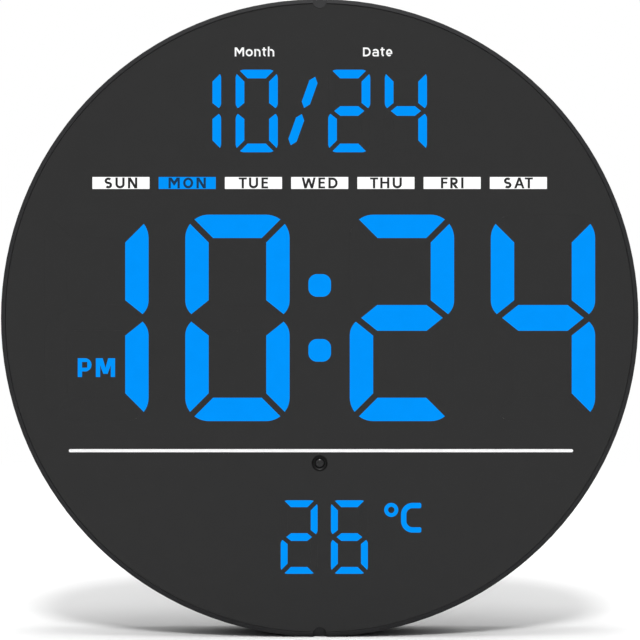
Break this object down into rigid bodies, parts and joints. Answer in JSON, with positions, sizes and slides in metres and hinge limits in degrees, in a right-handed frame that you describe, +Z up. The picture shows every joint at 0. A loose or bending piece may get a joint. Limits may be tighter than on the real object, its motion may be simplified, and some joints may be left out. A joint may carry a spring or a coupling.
{
  "type": "digital wall clock",
  "caption": "Round flat digital wall clock with lit seven-segment time, date and temperature, keyhole hanger, fold-out stand, hinged battery door, push buttons and power inlet.",
  "frame": {"origin": "centre of the flat back, in the plane of the wall", "axes": "+Y out of the back towards the wall, +Z up, +X to the right as seen from the front"},
  "size_m": [0.3, 0.028, 0.3],
  "materials": {
    "panel_grey": "fine matte",
    "case_grey": "fine moulded texture",
    "segment_blue": "lit diffuser",
    "window_white": "lit diffuser",
    "print_white": "printed line",
    "tape_black": "adhesive foam",
    "reflector_white": "moulded white",
    "led_body": "resin filled package",
    "board_green": "solder mask",
    "chip_black": "moulded package",
    "bare_steel": "bright",
    "screw_steel": "zinc plated",
    "contact_brass": "spring strip",
    "capacitor_sleeve": "shrink sleeve",
    "ribbon_grey": "flat cable",
    "sensor_black": "dark lens",
    "bezel_black": "satin",
    "thermistor_resin": "resin bead",
    "pad_rubber": "matte",
    "button_black": "satin"
  },
  "bodies": {
    "clock": {"front_panel": "panel_grey", "panel_tape": "tape_black", "front_housing": "case_grey", "time_segments_lit": "segment_blue", "time_segments_unlit": "panel_grey", "colon_dots": "segment_blue", "date_segments_lit": "segment_blue", "date_segments_unlit": "panel_grey", "date_slash": "segment_blue", "temperature_segments_lit": "segment_blue", "temperature_segments_unlit": "panel_grey", "celsius_sign": "segment_blue", "pm_indicator": "segment_blue", "weekday_windows": "window_white", "today_window": "segment_blue", "divider_line": "print_white", "time_reflector": "reflector_white", "date_reflector": "reflector_white", "weekday_reflector": "reflector_white", "temperature_reflector": "reflector_white", "time_leds": "led_body", "date_leds": "led_body", "weekday_leds": "led_body", "temperature_leds": "led_body", "time_board": "board_green", "calendar_board": "board_green", "temperature_board": "board_green", "microcontroller": "chip_black", "driver_chips": "chip_black", "crystal": "bare_steel", "capacitors": "capacitor_sleeve", "buzzer": "chip_black", "thermistor": "thermistor_resin", "calendar_ribbon": "ribbon_grey", "temperature_ribbon": "ribbon_grey", "sensor_bezel": "bezel_black", "sensor_dome": "sensor_black", "board_screws": "screw_steel", "back_cover": "case_grey", "housing_screws": "screw_steel", "kickstand_pin": "bare_steel", "coin_cell": "bare_steel", "battery_contacts": "contact_brass", "tact_switches": "chip_black", "key_board": "board_green", "key_board_screws": "screw_steel", "key_header": "chip_black", "dc_jack": "chip_black", "jack_contact": "contact_brass"},
    "stand": {"kickstand": "case_grey", "kickstand_pad": "pad_rubber"},
    "battery_door": {"battery_door": "case_grey"},
    "set_button": {"set_button": "button_black", "set_plunger": "button_black"},
    "up_button": {"up_button": "button_black", "up_plunger": "button_black"},
    "down_button": {"down_button": "button_black", "down_plunger": "button_black"}
  },
  "joints": [
    {"name": "stand_fold", "type": "hinge", "parent": "clock", "child": "stand", "pos_m": [0, -0.00275, -0.04], "axis": [1, 0, 0], "range_deg": [0, 25]},
    {"name": "battery_door_hinge", "type": "hinge", "parent": "clock", "child": "battery_door", "pos_m": [0.086, -0.0012, 0.0398], "axis": [1, 0, 0], "range_deg": [0, 95]},
    {"name": "set_button_press", "type": "slide", "parent": "clock", "child": "set_button", "axis": [0, -1, 0], "range_m": [0, 0.0005], "stiffness_N_per_m": 400},
    {"name": "up_button_press", "type": "slide", "parent": "clock", "child": "up_button", "axis": [0, -1, 0], "range_m": [0, 0.0005], "stiffness_N_per_m": 400},
    {"name": "down_button_press", "type": "slide", "parent": "clock", "child": "down_button", "axis": [0, -1, 0], "range_m": [0, 0.0005], "stiffness_N_per_m": 400}
  ]
}
